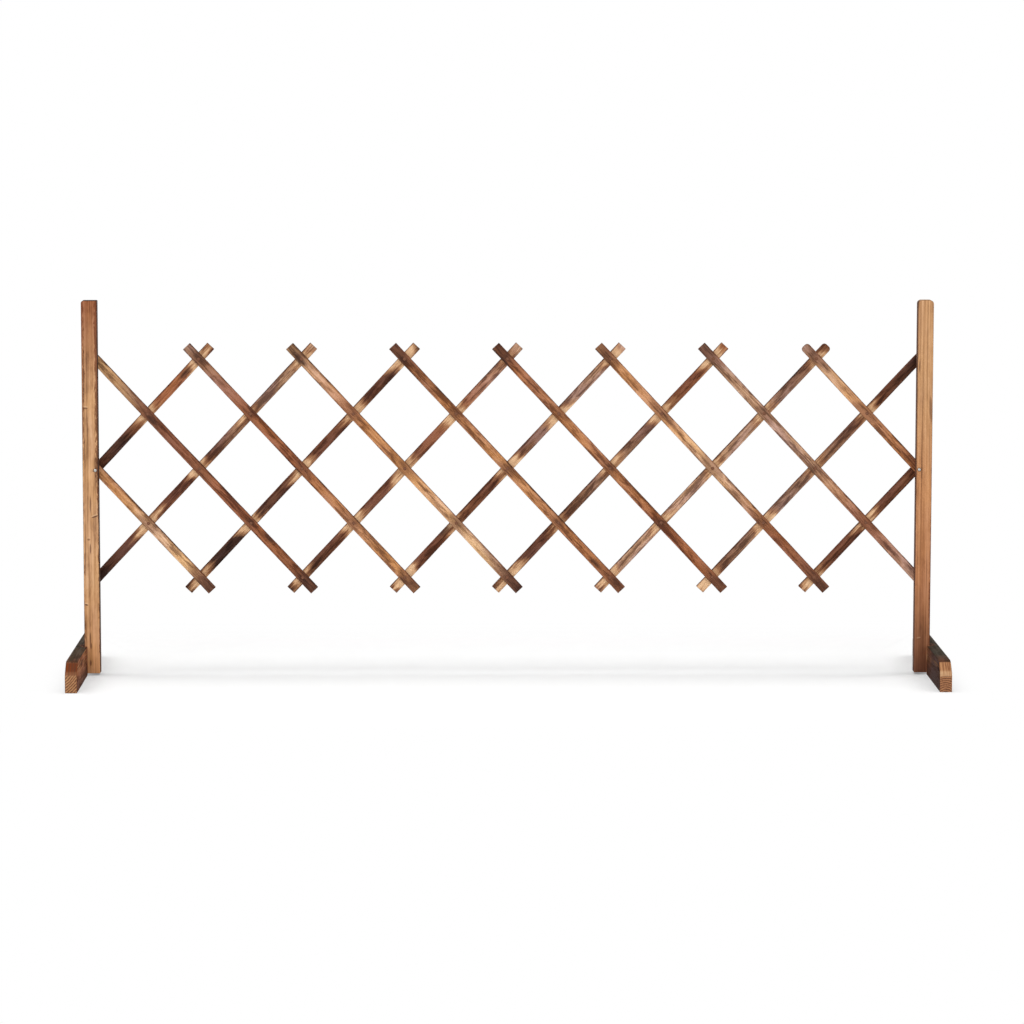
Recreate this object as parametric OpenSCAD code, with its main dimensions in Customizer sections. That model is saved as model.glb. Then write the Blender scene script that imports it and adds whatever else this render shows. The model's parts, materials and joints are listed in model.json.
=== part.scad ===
// Free-standing scissor lattice for climbing plants: two posts on feet, and between
// them flat laths in two layers, pinned together wherever they cross.
// X runs along the panel, Y from front to back and Z up from the ground.
// Front laths run down to the right, back laths up to the right.

/* [Posts] */
// Height of a post's top above the ground
post_h = 920; // [860:10:1400]
// Width of a post, seen from the front
post_w = 38; // [30:1:60]
// Depth of a post, from front to back
post_t = 28; // [18:1:40]
// Gap between a post's lower end and the ground
post_lift = 5; // [0.5:0.5:10]
// Radius of the two corners at a post's top
post_corner_r = 5; // [2:0.5:14]
// Radius of a post's long edges
post_edge_r = 2; // [0.5:0.5:5]

/* [Feet] */
// Length of a foot, from front to back
foot_l = 480; // [200:10:600]
// Height of a foot
foot_h = 72; // [60:1:110]
// Thickness of a foot
foot_t = 29; // [20:1:50]
// Length of the slope at each end of a foot's top
foot_slope = 28; // [5:1:40]
// Depth of the housing in a foot that takes the post
housing_d = 7; // [2:0.5:10]
// Gap between the post and each wall of its housing
housing_gap = 0.1; // [0.05:0.05:0.5]

/* [Lattice] */
// Height of the lattice's middle row of pins above the ground
lattice_h = 506; // [480:1:600]
// Distance between neighbouring pins along a lath
pin_pitch = 184; // [150:1:230]
// Angle of the opened laths from the horizontal
open_angle = 47; // [35:0.1:60]
// Distance of an end pin from the inner edge of its post
pin_inset = 7; // [6:0.5:15]
// Gap between neighbouring layers: posts, front laths, back laths and clenched ends
layer_gap = 0.3; // [0.1:0.05:0.5]

/* [Laths] */
// Width of a lath
lath_w = 23; // [18:0.5:35]
// Thickness of a lath
lath_t = 8; // [5:0.5:14]
// Length of a lath past its last pin
lath_end = 43; // [20:1:60]
// Length of a lath past the post's line, where the post hides it
hidden_end = 15; // [8:1:25]
// Width of the flat taken off a lath's long edges
lath_ease = 0.8; // [0.2:0.1:2]
// Radius of the corners of the two rounded lath ends
lath_corner_r = 8; // [2:0.5:9]

/* [Fasteners] */
// Radius of a lattice rivet
rivet_r = 2; // [1.5:0.25:3]
// Radius of a rivet's front head
rivet_head_r = 4; // [3:0.25:5]
// Height of a rivet's front head
rivet_head_h = 1.2; // [0.6:0.1:2.5]
// Radius of a rivet's clenched back end
rivet_tail_r = 3.2; // [2.5:0.1:4.5]
// Height of a rivet's clenched back end
rivet_tail_h = 1; // [0.5:0.1:2]
// Radius of a pivot bolt's shank
bolt_r = 2.5; // [2:0.25:3]
// Radius of a pivot bolt's round head
bolt_head_r = 4.5; // [3.5:0.25:5.5]
// Height of a pivot bolt's round head
bolt_head_h = 2.8; // [1:0.1:4]
// Length of a pivot bolt past its nut
bolt_tip = 2; // [0.5:0.5:8]
// Radius of the washer under a pivot nut
washer_r = 5; // [4.5:0.25:8]
// Thickness of the washer
washer_t = 1; // [0.5:0.1:2]
// Width of a pivot nut across its flats
nut_flats = 8; // [7:0.5:12]
// Thickness of a pivot nut
nut_t = 4; // [2:0.5:7]
// Radius of a foot screw's shank
screw_r = 2; // [1.5:0.25:3]
// Length of a foot screw
screw_l = 48; // [35:1:55]
// Radius of a foot screw's sunk head
screw_head_r = 4; // [3.5:0.25:6]
// Height of the lower foot screw above the ground
screw_low_h = 22; // [12:1:28]
// Distance between a foot's two screws
screw_rise = 30; // [15:1:32]
// Running gap round a shank in its hole
pin_gap = 0.08; // [0.02:0.01:0.1]

/* [Hidden] */
$fn = 48;
// Steps of the lattice from post to post, and from its top row of pins to its bottom row
columns = 16;
rows = 4;
middle_row = rows / 2;
lath_count = columns / 2 + 1;
column_pitch = pin_pitch * cos(open_angle);
row_pitch = pin_pitch * sin(open_angle);

// Places along X of the right-hand stand: end pin, post and foot
end_pin_x = columns / 2 * column_pitch;
post_in_x = end_pin_x - pin_inset;
post_out_x = post_in_x + post_w;
foot_in_x = post_out_x - housing_d;
foot_out_x = foot_in_x + foot_t;

// Places along Y: front face of each layer, from the post to the washer
post_front_y = -post_t / 2;
post_back_y = post_t / 2;
front_lath_y = post_back_y + layer_gap;
back_lath_y = front_lath_y + lath_t + layer_gap;
washer_y = back_lath_y + lath_t + layer_gap;
nut_y = washer_y + washer_t;

// Which way a lath leans: front laths fall to the right, back laths rise
falls = 1;
rises = -1;
// The rounded ends: the start of the last front lath and the end of this back lath
rounded_back_lath = 7;

// Angle between the points of a domed head, and the overshoot of a cut past a face
dome_step = 22.5;
cut_over = 1;

wood_brown = "#8a5a3a";
wood_tan = "#c49a6c";
wood_red = "#7d4a30";
rivet_brown = "#6b4a35";
steel = "#c8c8c8";

sides = ["left", "right"];
stand_pieces = ["post", "foot", "foot_screws", "pivot_bolt", "pivot_washer", "pivot_nut"];

// A lath spans five pins, or fewer where a post cuts it off
function first_column(i) = max(0, 2 * (i - 2));
function last_column(i) = min(columns, 2 * (i - 2) + rows);
function lath_row(i, lean, column) =
    let (step = column - 2 * (i - 2)) lean == falls ? step : rows - step;
function column_x(column) = (column - columns / 2) * column_pitch;
function row_z(row) = lattice_h + (middle_row - row) * row_pitch;
function at_post(column) = column == 0 || column == columns;
// A lath end that lies loose behind a post, above or below the end pin
function is_loose(i, lean, column) = at_post(column) && lath_row(i, lean, column) != middle_row;
function end_length(column) = at_post(column) ? hidden_end : lath_end;
// Half outline of a low dome of radius r and height h, from its rim to its crown
function dome(r, h) = [for (a = [0:dome_step:90]) [r * cos(a), h * sin(a)]];

module on_side(side) {
    if (side == "right") children();
    else mirror([1, 0, 0]) children();
}

// Turns a shape made along +Z so that it runs along +Y, from front to back
module front_to_back() {
    rotate([-90, 0, 0]) children();
}

// Turns a shape made along +Z so that it runs along -X, from a foot's outer face inwards
module inwards() {
    rotate([0, -90, 0]) children();
}

// Extrudes an outline drawn in Y and Z along +X
module extrude_along_x(length) {
    rotate([90, 0, 90]) linear_extrude(length) children();
}

module rounded_bar(w, d, h, r) {
    linear_extrude(h) {
        translate([r, 0]) square([w - 2 * r, d]);
        translate([0, r]) square([w, d - 2 * r]);
        for (x = [r, w - r], y = [r, d - r]) translate([x, y]) circle(r);
    }
}

// What a rounded corner takes away, in the quarter towards +X and +Z, cut through a depth along Y
module corner_waste(r, depth) {
    front_to_back() mirror([0, 1, 0]) translate([0, 0, -cut_over]) linear_extrude(depth + 2 * cut_over)
        difference() {
            translate([-r, -r]) square(r + cut_over);
            translate([-r, -r]) circle(r);
        }
}

module post(side) {
    on_side(side) difference() {
        translate([post_in_x, post_front_y, post_lift])
            rounded_bar(post_w, post_t, post_h - post_lift, post_edge_r);
        translate([post_out_x, post_front_y, post_h]) corner_waste(post_corner_r, post_t);
        translate([post_in_x, post_front_y, post_h]) mirror([1, 0, 0]) corner_waste(post_corner_r, post_t);
        translate([end_pin_x, post_front_y - cut_over, lattice_h])
            front_to_back() cylinder(r = bolt_r + pin_gap, h = post_t + 2 * cut_over);
        at_foot_screws() inwards() cylinder(r = screw_r + pin_gap, h = screw_l + cut_over);
    }
}

module at_foot_screws() {
    for (z = [screw_low_h, screw_low_h + screw_rise]) translate([foot_out_x, 0, z]) children();
}

// The foot seen along X: flat below, with a slope down to each end
module foot_profile() {
    half = foot_l / 2;
    polygon([
        [-half, 0], [half, 0], [half, foot_h - foot_slope],
        [half - foot_slope, foot_h], [foot_slope - half, foot_h], [-half, foot_h - foot_slope]
    ]);
}

module foot(side) {
    on_side(side) difference() {
        translate([foot_in_x, 0, 0]) extrude_along_x(foot_t) foot_profile();
        translate([foot_in_x - cut_over, post_front_y - housing_gap, -cut_over])
            cube([housing_d + cut_over, post_t + 2 * housing_gap, foot_h + 2 * cut_over]);
        at_foot_screws() inwards() {
            cylinder(r = screw_r + pin_gap, h = foot_t);
            cylinder(r1 = screw_head_r + pin_gap, r2 = screw_r + pin_gap, h = screw_head_r - screw_r);
        }
    }
}

// Countersunk screws, driven from the foot's outer face into the post
module foot_screws(side) {
    on_side(side) at_foot_screws() inwards() {
        cylinder(r = screw_r, h = screw_l);
        cylinder(r1 = screw_head_r, r2 = screw_r, h = screw_head_r - screw_r);
    }
}

// Round-headed bolt through the post and both end laths
module pivot_bolt(side) {
    tip = nut_y + nut_t + bolt_tip - post_front_y;
    outline = concat(
        [for (p = dome(bolt_head_r, bolt_head_h)) [p[0], -p[1]]],
        [[0, tip], [bolt_r, tip], [bolt_r, 0]]
    );
    on_side(side) translate([end_pin_x, post_front_y, lattice_h])
        front_to_back() rotate_extrude() polygon(outline);
}

// A disc or hexagon of thickness t on the pivot bolt, bored to run on its shank
module on_pivot_bolt(side, y, t) {
    on_side(side) translate([end_pin_x, y, lattice_h]) front_to_back() difference() {
        children();
        translate([0, 0, -cut_over]) cylinder(r = bolt_r + pin_gap, h = t + 2 * cut_over);
    }
}

module pivot_washer(side) {
    on_pivot_bolt(side, washer_y, washer_t) cylinder(r = washer_r, h = washer_t);
}

module pivot_nut(side) {
    on_pivot_bolt(side, nut_y, nut_t) cylinder(d = nut_flats / cos(30), h = nut_t, $fn = 6);
}

// Cross-section of a lath, its front face on Y = 0, with the four long edges eased
module lath_section() {
    half = lath_w / 2;
    polygon([
        [0, half - lath_ease], [lath_ease, half], [lath_t - lath_ease, half], [lath_t, half - lath_ease],
        [lath_t, lath_ease - half], [lath_t - lath_ease, -half], [lath_ease, -half], [0, lath_ease - half]
    ]);
}

// A lath along X from its first pin, with its holes; round_start or round_end rounds that end's corners
module drilled_lath(i, lean, round_start = false, round_end = false) {
    first = first_column(i);
    last = last_column(i);
    start = -end_length(first);
    end = (last - first) * pin_pitch + end_length(last);
    difference() {
        translate([start, 0, 0]) extrude_along_x(end - start) lath_section();
        for (column = [first:last])
            if (!is_loose(i, lean, column))
                translate([(column - first) * pin_pitch, -cut_over, 0]) front_to_back()
                    cylinder(r = (at_post(column) ? bolt_r : rivet_r) + pin_gap, h = lath_t + 2 * cut_over);
        for (up = [0, 1]) mirror([0, 0, up]) {
            if (round_end) translate([end, 0, lath_w / 2]) corner_waste(lath_corner_r, lath_t);
            if (round_start) translate([start, 0, lath_w / 2]) mirror([1, 0, 0])
                corner_waste(lath_corner_r, lath_t);
        }
    }
}

module placed_lath(i, lean, y) {
    first = first_column(i);
    translate([column_x(first), y, row_z(lath_row(i, lean, first))])
        rotate([0, lean * open_angle, 0]) children();
}

module front_lath(i) {
    color(wood_brown) placed_lath(i, falls, front_lath_y)
        drilled_lath(i, falls, round_start = i == lath_count);
}

module back_lath(i) {
    color(wood_brown) placed_lath(i, rises, back_lath_y)
        drilled_lath(i, rises, round_end = i == rounded_back_lath);
}

// Rivet along +Y, its head seated on a front face at Y = 0 and its end clenched behind the back lath
module rivet() {
    clench = 2 * (lath_t + layer_gap);
    outline = concat(
        [for (p = dome(rivet_head_r, rivet_head_h)) [p[0], -p[1]]],
        [[0, clench + rivet_tail_h]],
        [for (a = [90:-dome_step:0]) [rivet_tail_r * cos(a), clench + rivet_tail_h * sin(a)]],
        [[rivet_r, clench], [rivet_r, 0]]
    );
    front_to_back() rotate_extrude() polygon(outline);
}

// Every rivet that a front lath carries
module lath_rivets(i) {
    for (column = [first_column(i):last_column(i)])
        if (!at_post(column))
            translate([column_x(column), front_lath_y, row_z(lath_row(i, falls, column))]) rivet();
}

for (side = sides) {
    color(wood_tan) post(side);
    color(wood_red) foot(side);
    color(steel) foot_screws(side);
    color(steel) pivot_bolt(side);
    color(steel) pivot_washer(side);
    color(steel) pivot_nut(side);
}
for (i = [1:lath_count]) {
    front_lath(i);
    back_lath(i);
    color(rivet_brown) lath_rivets(i);
}
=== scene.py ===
"""Looks of a scissor-lattice plant trellis: scorched laths, posts and feet, brown rivets and zinc bolts.

Lengths are in metres. Every wooden piece is a board with axes of its own: X along the grain,
Y through its thickness and Z across its width.
"""

import json
import math
from contextlib import contextmanager
from functools import partialmethod
from typing import NamedTuple

import bmesh
import bpy
import numpy as np
from bpy.props import FloatProperty, FloatVectorProperty, IntProperty, PointerProperty
from mathutils import Matrix, Vector

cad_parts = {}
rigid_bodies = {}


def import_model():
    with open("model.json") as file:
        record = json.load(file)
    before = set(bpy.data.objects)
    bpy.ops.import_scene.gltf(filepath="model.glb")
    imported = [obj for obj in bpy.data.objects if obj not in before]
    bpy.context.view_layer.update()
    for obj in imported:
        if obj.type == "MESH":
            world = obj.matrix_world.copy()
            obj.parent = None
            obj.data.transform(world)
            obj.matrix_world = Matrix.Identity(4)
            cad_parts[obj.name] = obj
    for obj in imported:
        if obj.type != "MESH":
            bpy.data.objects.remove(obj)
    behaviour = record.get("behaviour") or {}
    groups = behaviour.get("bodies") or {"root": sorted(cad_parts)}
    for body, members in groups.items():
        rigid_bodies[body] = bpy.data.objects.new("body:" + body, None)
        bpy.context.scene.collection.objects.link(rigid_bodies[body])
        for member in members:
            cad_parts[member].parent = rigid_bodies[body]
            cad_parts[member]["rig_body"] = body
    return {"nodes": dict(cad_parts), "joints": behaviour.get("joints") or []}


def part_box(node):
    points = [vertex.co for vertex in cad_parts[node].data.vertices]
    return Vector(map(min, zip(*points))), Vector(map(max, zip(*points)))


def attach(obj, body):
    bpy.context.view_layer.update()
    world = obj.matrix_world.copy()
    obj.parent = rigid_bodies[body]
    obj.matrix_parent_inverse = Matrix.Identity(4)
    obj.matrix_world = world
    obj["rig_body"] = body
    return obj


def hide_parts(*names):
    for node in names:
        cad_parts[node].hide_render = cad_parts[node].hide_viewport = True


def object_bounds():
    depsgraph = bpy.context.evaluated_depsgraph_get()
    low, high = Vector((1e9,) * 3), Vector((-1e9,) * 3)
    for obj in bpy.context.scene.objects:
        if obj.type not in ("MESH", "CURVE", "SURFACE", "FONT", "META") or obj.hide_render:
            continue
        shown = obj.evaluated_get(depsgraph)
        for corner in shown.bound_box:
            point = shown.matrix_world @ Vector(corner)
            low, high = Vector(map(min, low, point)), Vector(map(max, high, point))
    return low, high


bl_info = {
    "name": "Scissor Lattice Trellis",
    "version": (1, 0, 0),
    "blender": (4, 5, 0),
    "location": "View3D > Sidebar > Trellis",
    "description": "Models the laths, stands and fasteners of an expanding plant trellis",
    "category": "Add Mesh",
}

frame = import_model()
CAD_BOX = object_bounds()

SIDES = ("left", "right")
ALONG, THROUGH = 0, 1
COLUMNS, ROWS = 16, 4
LATH_COUNT = COLUMNS // 2 + 1
FALLS, RISES = 1, -1
LAYERS = {"front": FALLS, "back": RISES}
BACKWARDS = Vector((0, 1, 0))
MM = 0.001
# Points closer than this are at one place; directions are parallel, or much alike, above these cosines.
SAME_PLACE = 0.01 * MM
PARALLEL = 0.999
ALIKE = 0.9
# How far a cutting tool reaches past the face that it cuts.
CUT_OVER = 1 * MM

# Scorch of each lath from its left end to its right end, as names of the tones below.
LATH_TONES = {
    "front": (
        ("honey", "honey", "pale", "pale", "umber"),
        ("pale", "umber", "russet", "russet", "umber"),
        ("ash", "russet", "russet", "honey", "honey"),
        ("pale", "amber", "honey", "pale", "umber"),
        ("umber", "amber", "honey", "amber", "russet"),
        ("russet", "amber", "amber", "russet", "russet"),
        ("honey", "honey", "pale", "russet", "umber"),
        ("ash", "fawn", "fawn", "russet", "fawn"),
        ("ash", "straw", "honey", "amber", "russet"),
    ),
    "back": (
        ("umber", "char", "russet", "russet", "umber"),
        ("char", "umber", "umber", "ash", "fawn"),
        ("char", "char", "umber", "umber", "char"),
        ("char", "umber", "umber", "russet", "fawn"),
        ("umber", "umber", "umber", "ash", "fawn"),
        ("char", "umber", "ash", "umber", "russet"),
        ("ash", "fawn", "fawn", "ash", "umber"),
        ("umber", "ash", "ash", "umber", "char"),
        ("umber", "umber", "umber", "umber", "umber"),
    ),
}
# Posts from the ground up, feet from the front end to the back end.
POST_TONES = {
    "left": ("honey", "straw", "straw", "straw", "russet"),
    "right": ("umber", "amber", "honey", "straw", "straw"),
}
FOOT_TONES = {
    "left": ("russet", "russet", "umber", "umber", "russet"),
    "right": ("char", "char", "umber", "umber", "umber"),
}


class Flaw(NamedTuple):
    """A crack or a knot in a post's front: its middle, half its height and width, and how far it is turned.

    Heights are above the ground; across is measured to the left of the post's middle. In millimetres
    and degrees. A spike is a knot cut lengthwise, with a painted highlight along its upper side.
    """

    height: float
    across: float
    half_height: float
    half_width: float
    turn: float = 0.0
    spike: bool = False
    strength: float = 0.75


POST_FLAWS = {
    "left": (
        Flaw(658, 11, 2.4, 7, -4, True, 0.7),
        Flaw(612, 6, 50, 1.3, 1, False, 0.6),
        Flaw(540, 5, 40, 1.0, 0, False, 0.35),
        Flaw(422, 1, 22, 2.0, -1),
        Flaw(392, -9, 2.0, 9, 20, True, 0.95),
        Flaw(336, 6, 3, 3.5, 0, True, 0.6),
        Flaw(313, 2, 14, 2.0),
        Flaw(175, 13, 2.2, 5, -15, True, 0.9),
        Flaw(92, 4, 16, 2.0),
        Flaw(74, 3, 9, 2.6),
        Flaw(31, 4, 8, 2.4),
    ),
    "right": (
        Flaw(760, 14, 18, 1.8, 0, False, 0.7),
        Flaw(652, -14, 36, 4.0, 2, False, 0.6),
        Flaw(560, -12, 70, 1.2, 0, False, 0.4),
        Flaw(254, -9, 60, 1.1, 0, False, 0.4),
        Flaw(88, 9, 2.2, 5, 10, True, 0.4),
    ),
}


class PostLook(NamedTuple):
    """How blotchy and how straight-grained a post is, how light its narrow faces and how burnt its top.

    The seed tells its grain from that of other boards.
    """

    contrast: float
    straight: float
    side_share: float
    top_burn: float
    seed: float


POST_LOOKS = {
    "left": PostLook(0.42, 1.8, 0.45, 0.95, 0.31),
    "right": PostLook(0.25, 1.9, 0.9, 0.3, 0.64),
}


class EdgeBurn(NamedTuple):
    """Scorch along an edge of a board's wide faces, in millimetres.

    The edge is the upper (1) or lower (-1) end of the board's own Z axis, on a post's front the left
    or the right. The scorch may grow wider from one place along the board to another.
    """

    edge: int
    width: float
    ragged: float
    strength: float
    wider: float = 0.0
    narrow_at: float = 0.0
    wide_at: float = 0.0


LATH_BURNS = (EdgeBurn(1, 3.4, 4, 0.8), EdgeBurn(-1, 0.8, 2, 0.35))
POST_BURNS = {
    "left": (EdgeBurn(-1, 2.5, 18, 0.8, 5.0, 350, 700), EdgeBurn(1, 2.0, 14, 0.7, 4.0, 450, 750)),
    "right": (EdgeBurn(-1, 0.5, 6, 0.8, 3.0, 640, 150), EdgeBurn(1, 0.5, 2, 0.5, 0.8, 700, 100)),
}


class CrossingMark(NamedTuple):
    """A mark of the flame round each crossing, on a lath's touching face or on its open face.

    It begins at its edge and is full nearer to the pin, in millimetres. Each tone comes with its share.
    """

    touching: bool
    edge: float
    full: float
    strength: float
    light: tuple
    dark: tuple


CROSSING_MARKS = (
    CrossingMark(False, 40, 6, 0.65, ("russet", 0.8), ("char", 1.0)),
    CrossingMark(True, 52, 24, 0.75, ("honey", 1.0), ("russet", 0.9)),
    CrossingMark(True, 33, 14, 0.9, ("pale", 1.2), ("honey", 1.0)),
)


class FootCut(NamedTuple):
    """How a foot looks where it was sawn.

    Tones of its top near the front, of the saw lines on its slopes and of the growth rings on its end
    faces; how strong the painted highlight is along the rounded turn below each slope, and how clear the
    streaks on its sides; where the pith is, in millimetres above the foot's middle and to the left of its
    left face; the seed of its grain.
    """

    top: str
    light_saw: str
    dark_saw: str
    light_ring: str
    dark_ring: str
    painted_highlight: float
    side_streaks: float
    pith: tuple
    seed: float


FOOT_CUTS = {
    "left": FootCut("umber", "rust", "umber", "honey", "umber", 0.15, 0.9, (110, 90), 0.12),
    "right": FootCut("umber", "honey", "russet", "amber", "umber", 0.7, 0.25, (-56, -14.5), 0.83),
}


def srgb(red, green, blue):
    """The linear colour of an eight-bit screen colour."""
    shares = (red / 255, green / 255, blue / 255)
    return tuple(s / 12.92 if s <= 0.04045 else ((s + 0.055) / 1.055) ** 2.4 for s in shares)


def colour_property(name, description, red, green, blue):
    return FloatVectorProperty(name=name, description=description, subtype="COLOR", size=3, min=0, max=1,
                               default=srgb(red, green, blue))


def length_property(name, description, default):
    return FloatProperty(name=name, description=description, default=default, min=0, precision=5,
                         subtype="DISTANCE", unit="LENGTH")


def spot_property(name, description, default):
    return FloatVectorProperty(name=name, description=description, default=default, size=3,
                               subtype="TRANSLATION", unit="LENGTH")


def angle_property(name, description, degrees):
    return FloatProperty(name=name, description=description, default=math.radians(degrees), subtype="ANGLE")


def power_property(name, description, default):
    return FloatProperty(name=name, description=description, default=default, min=0, unit="POWER")


class TrellisTones(bpy.types.PropertyGroup):
    """Colours of the scorched wood, from blackened to hardly touched by the flame."""

    char: colour_property("Char", "Wood that the flame has blackened", 60, 39, 32)
    umber: colour_property("Umber", "Dark brown scorched wood", 104, 66, 48)
    rust: colour_property("Rust", "Dark reddish scorched wood, at edges and sawn ends", 118, 58, 28)
    russet: colour_property("Russet", "Warm brown scorched wood", 143, 91, 62)
    amber: colour_property("Amber", "Wood that the flame browned evenly", 167, 117, 82)
    honey: colour_property("Honey", "Lightly scorched wood", 182, 133, 92)
    straw: colour_property("Straw", "Planed wood that the flame only tinted", 190, 150, 111)
    pale: colour_property("Pale", "Wood that the flame hardly reached", 210, 173, 135)
    ash: colour_property("Ash", "Greyish wood, scorched and brushed", 146, 116, 100)
    fawn: colour_property("Fawn", "Pale greyish wood, brushed", 184, 150, 128)
    soot: colour_property("Soot", "Sooty film on the feet's tops", 64, 58, 46)


class TrellisWood(bpy.types.PropertyGroup):
    """Shaping of the boards and the scale of their grain."""

    lath_section: length_property("Lath section", "Distance between cross cuts of a lath's mesh", 12 * MM)
    lath_ease: length_property("Lath edges", "Width of the rounding on a lath's edges", 0.8 * MM)
    lath_corner: length_property("Lath corners", "Radius of the corners of a rounded lath end", 8 * MM)
    lath_wander: length_property("Lath wander", "How far a sawn lath edge wanders", 1.0 * MM)
    post_section: length_property("Post section", "Distance between cross cuts of a post's mesh", 15 * MM)
    post_ease: length_property("Post edges", "Radius of a post's edges", 1.6 * MM)
    post_corner: length_property("Post corner", "Radius of the left post's outer top corner", 6 * MM)
    square_corner: length_property("Square corner", "Radius of the left post's inner top corner", 2 * MM)
    round_corner: length_property("Rounder corners", "Radius of the right post's two top corners", 9 * MM)
    foot_section: length_property("Foot section", "Distance between cross cuts of a foot's mesh", 40 * MM)
    foot_ease: length_property("Foot edges", "Width of the rounding on a foot's edges", 1.2 * MM)
    foot_slope: length_property("Foot slope", "Length of the slope at each end of a foot", 28 * MM)
    foot_turn: length_property("Foot turn", "Width of the rounding where a slope starts and ends", 9 * MM)
    housing_gap: length_property("Housing gap", "Gap between a post and each wall of its housing", 0.1 * MM)
    hole_gap: length_property("Hole gap", "Running gap round a shank in its hole", 0.08 * MM)
    lath_rings: length_property("Lath rings", "Distance between growth rings in a lath", 3.2 * MM)
    post_rings: length_property("Post rings", "Distance between growth rings in a post", 4.0 * MM)
    foot_rings: length_property("Foot rings", "Distance between growth rings in a foot", 5.4 * MM)


class TrellisFasteners(bpy.types.PropertyGroup):
    """Sizes and colours of rivets, bolts, nuts and screws."""

    segments: IntProperty(name="Segments", description="Sides of a turned fastener", default=32, min=12)
    rivet_shank: length_property("Rivet shank", "Radius of a rivet's shank", 2 * MM)
    rivet_tail: length_property("Rivet end", "Radius of a rivet's clenched end", 3.2 * MM)
    bolt_shank: length_property("Bolt shank", "Radius of a pivot bolt's shank", 2.5 * MM)
    thread_pitch: length_property("Thread pitch", "Distance between turns of a bolt's thread", 0.8 * MM)
    thread_depth: length_property("Thread depth", "Depth of a bolt's thread", 0.35 * MM)
    screw_shank: length_property("Screw shank", "Radius of a foot screw's shank", 2 * MM)
    recess_width: length_property("Recess width", "Width of a cross recess's arms", 1.0 * MM)
    recess_depth: length_property("Recess depth", "Depth of a cross recess", 1.4 * MM)
    lacquer: colour_property("Lacquer", "Brown lacquer on the rivets", 116, 74, 52)
    zinc: colour_property("Zinc", "Bright zinc plate", 205, 205, 200)


class TrellisStage(bpy.types.PropertyGroup):
    """Camera, floor and lamps."""

    eye: spot_property("Camera place", "Where the camera stands", (-0.1206, -8.0, 1.5191))
    tilt: angle_property("Camera tilt", "How far the camera looks down", 5.288)
    turn: angle_property("Camera turn", "How far the camera looks to the right", 0.396)
    lens: FloatProperty(name="Lens", description="Focal length in millimetres", default=116.1, min=10)
    shift: FloatVectorProperty(name="Lens shift", description="Shift of the frame to the right and upwards",
                               size=2, default=(0.0305, -0.1503))
    floor_size: length_property("Floor size", "Side of the square floor", 60)
    floor_tone: colour_property("Floor", "Pale floor and backdrop", 255, 255, 255)
    floor_share: FloatProperty(name="Floor share", default=0.35, min=0, max=1,
                               description="How much light the floor near the panel throws back")
    floor_power: power_property("Floor lamp", "Power of the long lamp that lights the floor alone", 440)
    floor_lamp_length: length_property("Floor lamp length", "Length of that lamp", 9.0)
    floor_lamp_width: length_property("Floor lamp width", "Width of that lamp", 1.5)
    floor_lamp_height: length_property("Floor lamp height", "Height of that lamp above the floor", 3.2)
    key_power: power_property("Key lamp", "Power of the main lamp", 170)
    key_spot: spot_property("Key lamp place", "Where the main lamp hangs", (-2.6, -4.8, 4.6))
    fill_power: power_property("Fill lamp", "Power of the second lamp", 60)
    fill_spot: spot_property("Fill lamp place", "Where the second lamp hangs", (3.4, -4.6, 2.6))
    lamp_size: length_property("Lamp size", "Side of the square main and second lamps", 3.5)
    sky: FloatProperty(name="Sky", description="Strength of the even light from all round", default=0.6,
                       min=0)


# Modelling tools


def select_only(*pieces):
    bpy.ops.object.select_all(action="DESELECT")
    for piece in pieces:
        piece.select_set(True)
    bpy.context.view_layer.objects.active = pieces[-1]


@contextmanager
def picked(piece, kind, test):
    """Edit mode on a piece, with the vertices, edges or faces selected for which the test holds."""
    select_only(piece)
    bpy.ops.object.mode_set(mode="EDIT")
    bpy.ops.mesh.select_mode(type=kind)
    bpy.ops.mesh.select_all(action="DESELECT")
    mesh = bmesh.from_edit_mesh(piece.data)
    elements = {"VERT": mesh.verts, "EDGE": mesh.edges, "FACE": mesh.faces}[kind]
    for element in elements:
        if test(element):
            element.select_set(True)
    mesh.select_flush_mode()
    bmesh.update_edit_mesh(piece.data)
    yield
    bpy.ops.object.mode_set(mode="OBJECT")


def near(a, b):
    return abs(a - b) < SAME_PLACE


def runs_along(edge, axis):
    """Whether an edge is parallel to one of the piece's own axes."""
    span = edge.verts[1].co - edge.verts[0].co
    return abs(span[axis]) > PARALLEL * span.length


def through_at(spots):
    """A test for edges that run through a board's thickness at the given places along and across it."""

    def holds(edge):
        middle = (edge.verts[0].co + edge.verts[1].co) / 2
        return runs_along(edge, THROUGH) and any(near(middle.x, x) and near(middle.z, z) for x, z in spots)

    return holds


def faces_towards(direction):
    """A test for faces that look in a direction."""
    return lambda face: face.normal.dot(direction) > ALIKE


def new_piece(name):
    """Takes the primitive that was just added as the start of a piece."""
    piece = bpy.context.object
    piece.name = name
    piece.data.name = name
    bpy.ops.object.transform_apply(location=True, rotation=True, scale=True)
    return piece


def apply_modifier(piece, kind, **settings):
    select_only(piece)
    modifier = piece.modifiers.new(kind.title(), kind)
    for name, value in settings.items():
        setattr(modifier, name, value)
    bpy.ops.object.modifier_apply(modifier=modifier.name)


def ease_edges(piece, width, angle=40):
    """Rounds the edges between faces that meet at more than the angle, in degrees."""
    apply_modifier(piece, "BEVEL", width=width, segments=3, limit_method="ANGLE",
                   angle_limit=math.radians(angle))


def combine(piece, tool, operation):
    """Cuts a piece with a tool, or keeps what they share, and removes the tool."""
    apply_modifier(piece, "BOOLEAN", object=tool, operation=operation, solver="EXACT")
    select_only(tool)
    bpy.ops.object.delete()


def add_box(name, low, high):
    bpy.ops.object.select_all(action="DESELECT")
    bpy.ops.mesh.primitive_cube_add(size=1, location=(low + high) / 2, scale=high - low)
    return new_piece(name)


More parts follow.
